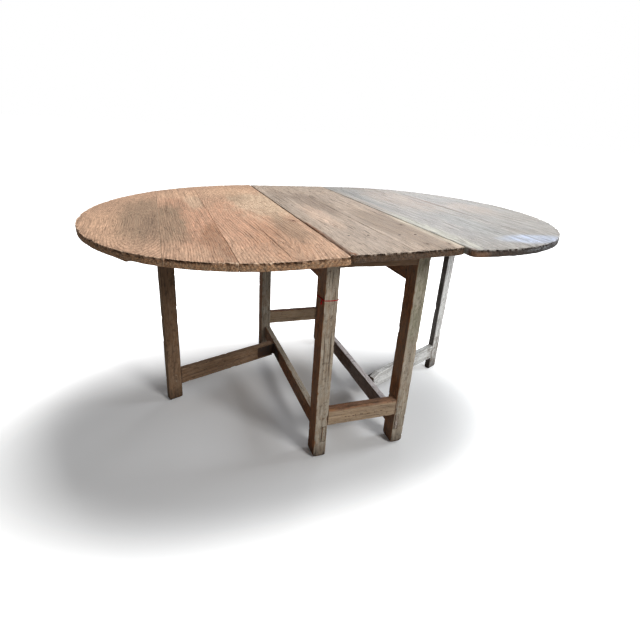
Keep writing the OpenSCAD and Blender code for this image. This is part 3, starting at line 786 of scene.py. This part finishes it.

# worn, the pale of worn arrises and of the worn tops of board ends, is matched to the lit ridges of the ends:
# worn wood, and partly a painted highlight
warm = dict(early=rgb(214, 174, 146, 0.72), late=rgb(118, 78, 54, 0.72), aged=rgb(176, 146, 122, 0.7),
            cut=rgb(186, 142, 106), cut_aged=rgb(150, 132, 112), worn=rgb(236, 206, 178, 0.8),
            dirt_and_shade=rgb(70, 47, 31), relief=0.9 * MM, late_share=0.52, check=0.28, mottle=0.45)
left_inner = wood("left_inner_pine", **warm, age=0.3, ring=RING["left_inner"], patches=on_top(
    (RED, 0.42, (-0.36, -0.15), (0.12, 0.5), 0.9),
    (PALE, 0.75, (-0.25, 0.12), (0.12, 0.34), 1.5),
    (OLIVE, 0.4, (-0.30, 0.30), (0.05, 0.2), 1.4),
    (rgb(170, 128, 100, 0.7), 0.5, (-0.30, -0.42), (0.09, 0.26), 1.2),
    (SAND, 0.5, (-0.32, 0.42), (0.14, 0.14), 1.2),
    (OLIVE, 0.6, (-0.24, -0.28), (0.05, 0.22), 1.2)),
    knots=[((FRAME_X - 0.202, -0.205, 0.752), 7 * MM)])
left_centre = wood("left_centre_pine", **warm, age=0.25, ring=RING["left_centre"], patches=on_top(
    (RED, 0.48, (-0.50, -0.05), (0.16, 0.55), 1.0),
    (OLIVE, 0.9, (-0.57, -0.12), (0.065, 0.38), 1.2),
    (PALE, 0.6, (-0.47, 0.22), (0.05, 0.2), 1.2),
    (rgb(160, 118, 92, 0.7), 0.9, (-0.445, -0.40), (0.07, 0.26), 1.2),
    (SAND, 0.5, (-0.50, 0.38), (0.14, 0.12), 1.2)))
left_outer = wood("left_outer_pine", **warm, age=0.35, ring=RING["left_outer"], patches=on_top(
    (rgb(228, 184, 150, 0.78), 0.35, (-0.75, -0.15), (0.09, 0.34), 1.0),
    (OLIVE, 0.8, (-0.645, -0.03), (0.10, 0.42), 1.0),
    (DARK, 0.4, (-0.62, -0.18), (0.04, 0.25), 1.4)))
middle_pine = wood(
    "middle_pine", early=rgb(206, 186, 168, 0.62), late=rgb(122, 98, 80, 0.6), aged=rgb(178, 164, 152, 0.6),
    cut=rgb(96, 74, 56), cut_aged=rgb(92, 80, 68), worn=rgb(226, 208, 188, 0.75), ring=RING["middle"],
    relief=0.8 * MM, patches=on_top(
        (rgb(110, 68, 40, 0.8), 1.0, (-0.1755, -0.45), (0.013, 0.30), 0.5),
        (rgb(120, 76, 46, 0.8), 1.0, (-0.171, -0.602), (0.017, 0.03), 0.4),
        (rgb(150, 132, 116, 0.6), 0.7, (0.10, -0.30), (0.09, 0.4), 1.2),
        (DARK, 0.5, (-0.02, 0.12), (0.07, 0.34), 1.6),
        (DARK, 0.35, (-0.11, 0.36), (0.05, 0.22), 1.6),
        (rgb(222, 192, 170, 0.66), 0.7, (-0.09, -0.12), (0.05, 0.25), 1.1),
        (rgb(220, 212, 192, 0.66), 0.6, (0.176, -0.38), (0.035, 0.30), 1.3)),
    knots=knots_at(((0.082, -0.523), 5 * MM), ((0.149, -0.528), 4 * MM), ((0.134, -0.283), 6 * MM)))
right_pine = wood(
    "right_pine", early=rgb(206, 200, 193, 0.48), late=rgb(122, 112, 104, 0.48), aged=rgb(186, 186, 185, 0.47),
    # the right leaf's end grain is darker than the middle's, partly painted shade on its ends
    cut=rgb(84, 62, 46), cut_aged=rgb(60, 50, 42), worn=rgb(204, 198, 190, 0.55), ring=RING["right"], age=0.6,
    contrast=1.3, mottle=0.45, late_share=0.7, gloss=(0.5, 0.7), specular=0.5, relief=0.6 * MM,
    end_patches=((rgb(132, 96, 68), 0.7, (FRAME_X + 0.19, -0.595, 0.745), (0.05, 0.06, 0.06), 0.8),
                 # painted shade: the end faces of the right leaf's tip go near black
                 (rgb(24, 21, 20), 0.92, (FRAME_X + 0.60, -0.38, 0.74), (0.50, 0.50, 0.3), 0.3)),
    patches=on_top(
        (SILVER_PINK, 0.7, (0.40, 0.25), (0.14, 0.4), 1.0),
        (rgb(176, 178, 176, 0.5), 0.8, (0.40, -0.28), (0.08, 0.22), 1.1),
        # painted reflection: a pale blue sheen of window light near the right leaf's front edge
        (rgb(192, 206, 234, 0.66), 0.85, (0.475, -0.50), (0.15, 0.065), 0.4),
        (rgb(196, 180, 164, 0.5), 0.6, (0.19, 0.15), (0.035, 0.35), 1.4),
        (SILVER_PINK, 0.6, (0.62, 0.02), (0.10, 0.2), 1.3),
        (rgb(150, 152, 152, 0.5), 0.6, (0.24, 0.22), (0.03, 0.3), 1.3),
        (rgb(208, 206, 188, 0.62), 0.6, (0.19, -0.36), (0.05, 0.32), 1.3)) + [
        (rgb(110, 74, 50, 0.8), 1.0, (FRAME_X + 0.181, -0.594, 0.745), (0.014, 0.03, 0.05), 0.4),
        (rgb(150, 96, 76, 0.7), 1.0, (FRAME_X + 0.509, 0.10, 0.75), (0.004, 0.30, 0.3), 0.3)])
oak = dict(ring=3.4 * MM, relief=1.0 * MM)
OAK_WORN = rgb(150, 108, 74)
leg_oak = wood(
    "leg_oak", rgb(154, 138, 120), rgb(98, 78, 62), rgb(176, 168, 154), rgb(130, 110, 92), **oak, worn=OAK_WORN,
    sheltered=rgb(146, 96, 60), age=0.4, mottle=0.7, speck=0.8, contrast=0.9,
    patches=[(rgb(132, 136, 116), 0.7, (FRAME_X + 0.146, -0.43, 0.56), (0.06, 0.08, 0.20), 1.2)],
    joints=[((FRAME_X + side * STRETCHER_X, 0, TENON_Z),
             (TENON_W / 2 + 0.2 * MM, 1.0, TENON_H / 2 + 0.5 * MM)) for side in SIDE])
# the left gate's brown; on the end rails its darkness is painted shade under the top
gate_brown = wood(
    "gate_brown", rgb(118, 91, 67), rgb(76, 54, 38), rgb(134, 112, 92), rgb(88, 66, 50), **oak,
    worn=rgb(112, 88, 66), sheltered=rgb(84, 60, 42), age=0.4, mottle=0.6, speck=0.5, contrast=0.9)
gate_grey = wood(
    "gate_grey", rgb(192, 190, 186), rgb(104, 94, 84), rgb(218, 220, 220), rgb(60, 46, 36), **oak,
    worn=rgb(120, 106, 92), sheltered=rgb(46, 32, 22), mottle=0.7, speck=0.6, contrast=1.1,
    patches=[(rgb(92, 70, 46), 0.7, (0.60, 0.03, 0.06), (0.08, 0.08, 0.12), 2.4)])
stretcher_grey = wood(
    "stretcher_grey", rgb(198, 190, 190), rgb(120, 106, 100), rgb(214, 208, 208), rgb(84, 66, 52), **oak,
    worn=rgb(150, 136, 126), sheltered=rgb(104, 74, 54), mottle=0.6, speck=0.4,
    patches=[(rgb(142, 126, 110), 1.1, (FRAME_X + STRETCHER_X, end * 0.431, TENON_Z), (0.04, 0.025, 0.08), 0)
             for end in END])
stretcher_oak = wood(
    "stretcher_oak", rgb(160, 136, 110), rgb(100, 76, 58), rgb(172, 152, 130), rgb(120, 96, 76), **oak,
    worn=OAK_WORN, sheltered=rgb(146, 104, 78), age=0.4, mottle=0.6, speck=0.7)
batten_pine = wood("batten_pine", rgb(140, 104, 72), rgb(100, 70, 46), rgb(120, 96, 72), rgb(110, 80, 54),
                   speck=0.5)
peg_oak = wood("peg_oak", rgb(136, 118, 100), rgb(100, 80, 62), rgb(140, 126, 110), rgb(110, 90, 72),
               own_log=False)
iron = iron_finish()
cotton = thread_finish()


# ---- the frame ----

def frame_pieces():
    """Four legs, then the rails, aprons and stretchers that join them."""
    seed = 10
    for side in SIDE:
        for end in END:
            node = f"leg_{END[end]}_{SIDE[side]}"
            low, high = cad(node)
            width, depth, height = high - low
            x, y, _ = (low + high) / 2
            bar(node + "_worn", height, width, depth, upright(x, y), leg_oak, [node], seed,
                foot=(18 if side == RIGHT else 12) * MM, arris=2.4 * MM, bow=(0.8 * MM * side, 0.4 * MM * end),
                pith=(0.03 * side, 0.05), brown=(-1, 0), rough=0.45 * MM)
            seed += 10
    # rails and aprons run from leg to leg: their tenons are hidden inside the legs and aren't made
    chips = [((-1, 0), (1.5 * math.sin(5.1 * k) - 6) * MM, (62 + 13 * k + 4 * math.sin(9.7 * k)) * MM,
              (3.4 * MM, (4.5 + 2 * math.sin(3.3 * k)) * MM), 1.6 * MM) for k in range(11)]
    square = dict(foot=0.3 * MM, head=0.3 * MM, pith=(0.04, 0.02))
    chipped = dict(dents=chips, corners=(1, 1, 4.5, 1), step=1.6 * MM, fine=(10, 20))
    for node in ("end_rail_front", "end_rail_back", "end_stretcher_front", "end_stretcher_back"):
        low, high = cad(node)
        low[0], high[0] = FRAME_X - APRON_IN, FRAME_X + APRON_IN
        length, width, depth = high - low
        # the end rails take the darker gate finish as painted shade under the top's overhang
        finish = gate_brown if "rail" in node else stretcher_oak
        bar(node + "_worn", length, width, depth, along_x(low, high), finish, [node], seed, brown=(0, 1.6),
            **square, **(chipped if node == "end_stretcher_front" else {}))
        seed += 10
    for node in ("apron_left", "apron_right"):
        low, high = cad(node)
        low[1], high[1] = -LEG_IN, LEG_IN
        width, length, depth = high - low
        bar(node + "_worn", length, width, depth, along_y(low, high), leg_oak, [node], seed, brown=(-1, 0),
            **square)
        seed += 10
    width, length, depth = STRETCHER_SIZE

    def tenon(x, y, z):
        """Narrows both ends to a through tenon from a square shoulder."""
        t = held((np.abs(z - length / 2) - LEG_IN - 0.2 * MM) / (0.4 * MM))
        return x * (1 - t * (1 - TENON_W / width)), y * (1 - t * (1 - TENON_H / depth)), z

    shoulders = np.array([59.9, 60.1, 60.6, 800.9, 801.3, 801.5]) * MM
    for node, finish in (("side_stretcher_left", leg_oak), ("side_stretcher_right", stretcher_grey)):
        low, high = cad(node)
        middle = np.array([(low[0] + high[0]) / 2, 0, STRETCHER_MID_Z])
        half = np.array(STRETCHER_SIZE) / 2
        bar(node + "_worn", length, width, depth, along_y(middle - half, middle + half), finish, [node], seed,
            foot=0.5 * MM, head=0.5 * MM, pith=(0.04, 0.02), shape=tenon, brown=(-1, 0), cut_ends=False,
            cuts=shoulders)
        seed += 10


# ---- the top ----

def middle_boards():
    """The two fixed boards, with a skewed front edge that the years have broken."""
    low = cad("middle_board_left")[0][0]
    seam_x = cad("middle_board_left")[1][0]
    seam_right = cad("middle_board_right")[0][0]
    high = cad("middle_board_right")[1][0]
    back = cad("middle_board_left")[1][1]

    def front(x):
        """The front edge's Y: three points of the skewed edge, and both corners broken off by a curve."""
        skew = np.interp(x, [low, (seam_x + seam_right) / 2, high], [0.607, 0.592, 0.570])
        return 9 * MM * held(1 - (x - low) / 0.014) ** 2 + 8 * MM * held(1 - (high - x) / 0.03) ** 2 - skew

    for name, x0, x1, seed, pith, seam, edges in (
            ("middle_board_left", low, seam_x, 310, (FRAME_X - 0.30, 0.06, 0.1, 0.06), (1.3 * MM, 0.8 * MM),
             [(-0.80, -0.30, 6 * MM)]),
            ("middle_board_right", seam_right, high, 330, (FRAME_X - 0.12, 0.05, -0.2, 0.05),
             (0.8 * MM, 1.4 * MM), ())):
        x = long_rows(x0, x1)
        near = np.stack([x, front(x)], 1)
        far = np.stack([x, 0 * x + back], 1)
        board(name + "_worn", near, far, lambda p: p, middle_pine, "grey_pine", "frame", seed, BOARD_Z, pith,
              RING["middle"], across=(x - x0, x1 - x), seam=seam, edges=edges)


def leaves():
    """Three boards in the left leaf and two in the right."""
    cracks = [(142 * MM, -0.64, -0.20, 1.8 * MM, 1.8 * MM), (112 * MM, -0.50, -0.22, 1.4 * MM, 1.1 * MM),
              (186 * MM, -0.46, -0.26, 1.2 * MM, 0.9 * MM)]
    leaf_board(LEFT, "left_leaf_inner_board", 0, 259.7 * MM, left_inner, 350, (0.125, 0.03, -0.24, 0.2),
               RING["left_inner"], seam=(1.4 * MM, 0.8 * MM), cracks=cracks)
    leaf_board(LEFT, "left_leaf_centre_board", 260.3 * MM, 419.7 * MM, left_centre, 370,
               (0.52, 0.07, 0.2, 0.05), RING["left_centre"])
    leaf_tip(LEFT, "left_leaf_outer_board", 420.3 * MM, left_outer, 390, (0.484, 0.03, -0.10, 0.42),
             RING["left_outer"])
    leaf_board(RIGHT, "right_leaf_inner_board", 0, 329.7 * MM, right_pine, 410, (-0.08, 0.07, 0.1, 0.05),
               RING["right"], seam=(3.0 * MM, 1.2 * MM))
    leaf_tip(RIGHT, "right_leaf_outer_board", 330.3 * MM, right_pine, 430, (0.2, 0.06, -0.1, 0.08),
             RING["right"])


def battens():
    """Two battens under each leaf, bevelled at the outer end."""
    for side in SIDE:
        start = HALF_GAP + 34 * MM
        length = HALF_GAP + BATTEN_END[side] - start
        base = BOARD_Z - LEAF_PIN[side][2] - BATTEN_T / 2

        def bevel(x, y, z, length=length):
            """Cuts the outer end back as a point goes down."""
            return x, y, np.minimum(z, length - 38 * MM * held(0.5 - y / BATTEN_T))

        for end in END:
            def lay(p, start=start, y=end * BATTEN_Y[side], base=base):
                """Lays a batten out from the hinge, under its leaf."""
                return xyz(start + p[..., 2], y + p[..., 0], base + p[..., 1])

            node = f"{SIDE[side]}_batten_{END[end]}"
            bar(node + "_worn", length, BATTEN_W, BATTEN_T, in_leaf(side, lay), batten_pine, [node],
                500 + side * 20 + end * 5, body=SIDE[side] + "_leaf", foot=1 * MM, head=0.5 * MM, shape=bevel,
                slot="batten_pine")


# ---- the gates ----

def gates():
    """Each gate's leg and its two arms."""
    for side, finish in ((LEFT, gate_brown), (RIGHT, gate_grey)):
        name = SIDE[side] + "_gate"
        y = -GATE_FACE - GATE_T / 2
        top = cad(name + "_leg")[1][2]
        stand = upright(GATE_REACH[side] - GATE_LEG_W / 2, y)
        bar(name + "_leg_worn", top, GATE_LEG_W, GATE_T, in_gate(side, stand), finish, [name + "_leg"],
            600 + 10 * side, body=name, foot=11 * MM, pith=(0.06, 0.03), brown=(-1, 0), rough=0.5 * MM)
        for part in ("lower", "upper"):
            node = f"{name}_{part}_arm"
            low, high = cad(node)[0][2], cad(node)[1][2]
            tall = high - low
            slope = 15 * MM if side == RIGHT and part == "lower" else 0

            def lay(p, start=GATE_GAP[side], y=y, middle=(low + high) / 2):
                """Lays an arm out from the pin to the gate's leg."""
                return xyz(start + p[..., 2], y + p[..., 0], middle + p[..., 1])

            def bevel(x, y, z, tall=tall, slope=slope):
                """Slopes the top down towards the hinged end."""
                drop = slope * held(1 - z / (32 * MM))
                return x, -tall / 2 + (y + tall / 2) * (1 - drop / tall), z

            old_slot = [((-1, 0), -12 * MM, 24 * MM, (5 * MM, 8 * MM), 4 * MM)] if slope else ()
            length = GATE_REACH[side] - GATE_LEG_W - GATE_GAP[side]
            bar(node + "_worn", length, GATE_T, tall, in_gate(side, lay), finish, [node],
                640 + 10 * side + len(part), body=name, foot=1.5 * MM, head=0.3 * MM, shape=bevel,
                dents=old_slot, step=3 * MM, fine=(8, 12))


# ---- small parts ----

def cord(name, path, radius, body, nodes, finish, slot):
    """A round cord along a path: loops stand square to the path, and both ends draw in to a blunt tip."""
    around = 12
    run = np.linalg.norm(np.diff(path, axis=0), axis=1)
    at = np.concatenate([[0], np.cumsum(run)])
    from_end = np.minimum(at, at[-1] - at)
    r = radius * np.sqrt(np.clip(1 - held(1 - from_end / radius) ** 2, 0.04, 1))
    along = np.gradient(path, axis=0)
    along = along / np.linalg.norm(along, axis=1)[:, None]
    lift = np.array([0.31, 0.24, 0.92])
    side = np.cross(along, lift)
    side = side / np.linalg.norm(side, axis=1)[:, None]
    up = np.cross(side, along)
    a = (np.arange(around) + 0.5) * 2 * math.pi / around
    out = np.cos(a)[None, :, None] * side[:, None, :] + np.sin(a)[None, :, None] * up[:, None, :]
    points = path[:, None, :] + r[:, None, None] * out
    make_piece(name, points, body, nodes, finish, slot)


def red_thread():
    """The thread round the front left leg: one tail, a turn of the knot, once round, a second turn, a tail."""
    low, high = LEG_LOW - 1.3 * MM, LEG_HIGH + 1.3 * MM
    knot = np.array([low[0] - 0.6 * MM, low[1] + 13 * MM, THREAD_Z])
    t = np.linspace(0, 1, 60)[:, None]
    tail = knot + np.array([-1.5, 5, -17]) * MM * (1 - t) + np.array([-2.5, 0, 0]) * MM * np.sin(math.pi * t)
    turn = np.linspace(0, 2 * math.pi * 1.75, 90)[:, None]
    first = knot + np.concatenate([-0.8 * MM - 0 * turn, 2.4 * MM * np.sin(turn),
                                   2.2 * MM * (1 - np.cos(turn)) - 1 * MM], 1)
    a = np.linspace(0, 2 * math.pi, 400)[:, None]
    middle = (low + high) / 2
    half = (high - low) / 2
    x, y = np.cos(a + math.pi), np.sin(a + math.pi)
    blunt = (np.abs(x) ** 14 + np.abs(y) ** 14) ** (-1 / 14)
    once = np.concatenate([middle[0] + half[0] * x * blunt, middle[1] + half[1] * y * blunt,
                           THREAD_Z + 0.8 * MM * np.sin(3 * a) + 1.2 * MM * np.sin(a)], 1)
    start = np.argmin(np.linalg.norm(once - knot, axis=1))
    once = np.roll(once, -start, axis=0)
    second = knot + np.concatenate([-1.4 * MM - 0 * turn, 2.0 * MM * np.cos(turn), 2.0 * MM * np.sin(turn)], 1)
    other = knot + np.array([-2.5, -4, -12]) * MM * t + np.array([-1.0, 0, 0]) * MM * np.sin(math.pi * t)
    path = np.concatenate([tail, first, once, second, other])
    step = np.linalg.norm(np.diff(path, axis=0), axis=1)
    at = np.concatenate([[0], np.cumsum(np.maximum(step, 1e-7))])
    even = np.linspace(0, at[-1], 620)
    path = np.stack([np.interp(even, at, path[:, k]) for k in range(3)], 1)
    for _ in range(3):
        path[1:-1] = (path[:-2] + 2 * path[1:-1] + path[2:]) / 4
    cord("red_thread_tied", path, THREAD_R, "frame", ["red_thread"], cotton, "thread")


def cad_finishes():
    """Gives the CAD nodes of the iron, thread and peg_oak slots the finishes made for them."""
    for node, obj in frame["nodes"].items():
        slot = next(row["material_slot"] for row in frame["record"]["subparts"] if row["node"] == node)
        finish = {"iron": iron, "thread": cotton, "peg_oak": peg_oak}.get(slot)
        if finish:
            obj.data.materials.clear()
            obj.data.materials.append(finish)


# ---- studio ----

def studio():
    """A camera left of the front, a lamp overhead and three softer ones at the right, and a pale floor."""
    scene = bpy.context.scene
    camera = bpy.data.objects.new("camera", bpy.data.cameras.new("camera"))
    camera.location = (FRAME_X - 0.605, -1.53995, 1.03064)
    camera.rotation_euler = (math.radians(66.789), math.radians(-3.453), math.radians(-18.801))
    camera.data.sensor_width = 36
    camera.data.lens = 25.04
    camera.data.shift_x = 0.0085
    camera.data.shift_y = -0.0062
    scene.collection.objects.link(camera)
    scene.camera = camera
    for name, place, target, size, power, tint in (
            ("key", (1.3, 0.45, 5.6), (0, 0, 0.4), 2.5, 325, (1.0, 0.99, 0.97)),
            ("front_right", (1.5, -3.4, 2.5), (0.1, 0, 0.5), 1.2, 95, (1.0, 0.99, 0.97)),
            ("window", (2.9, -0.2, 1.5), (0.1, 0, 0.4), 0.9, 42, (0.92, 0.96, 1.0)),
            ("back_window", (3.2, 4.2, 1.9), (0.4, 0, 0.7), 1.8, 40, (0.93, 0.95, 1.0))):
        lamp = bpy.data.objects.new(name, bpy.data.lights.new(name, "AREA"))
        lamp.data.size = size
        lamp.data.energy = power
        lamp.data.color = tint
        lamp.location = place
        away = np.array(place) - np.array(target)
        tilt = math.atan2(math.hypot(away[0], away[1]), away[2])
        lamp.rotation_euler = (tilt, 0, math.atan2(away[0], -away[1]))
        scene.collection.objects.link(lamp)
    world = bpy.data.worlds.new("studio")
    world.use_nodes = True
    tree = Tree(world.node_tree)
    seen = tree.add("LightPath").outputs["Is Camera Ray"]
    tree.feed(tree.nodes["Background"], {"Color": (1, 1, 1, 1), "Strength": tree.scaled(seen, 0, 1, 0.2, 1.0)})
    scene.world = world
    scene.view_settings.view_transform = "Standard"
    reach, z = 60, -0.5 * MM
    mesh = bpy.data.meshes.new("floor")
    mesh.from_pydata([(-reach, -reach, z), (reach, -reach, z), (reach, reach, z), (-reach, reach, z)], [],
                     [(0, 1, 2, 3)])
    floor = bpy.data.objects.new("floor", mesh)
    scene.collection.objects.link(floor)
    # the floor takes shadows round the table; outside an oval it glows for the camera only, which paints the
    # soft outer edge of the table's shadow and fades the floor to the white of the backdrop, and to other rays
    # it is darker, so it throws less light up under the table
    finish, tree, surface = shader("pale_floor", 1.0, 0.0)
    seen = tree.add("LightPath").outputs["Is Camera Ray"]
    away = tree.vector("SUBTRACT", tree.place(), (-0.27, -0.20, 0))
    away = tree.vector("LENGTH", tree.vector("MULTIPLY", away, (1.05, 2.0, 0)))
    fade = tree.scaled(away, 0.66, 1.65, curve="SMOOTHSTEP")
    tree.feed(surface, {"Base Color": tree.over((0.36, 0.34, 0.32, 1), (0.82, 0.83, 0.84, 1), seen),
                        "Emission Color": (1, 1, 1, 1), "Emission Strength": tree.times(seen, fade)})
    mesh.materials.append(finish)


studio()
frame_pieces()
middle_boards()
leaves()
battens()
gates()
red_thread()
cad_finishes()
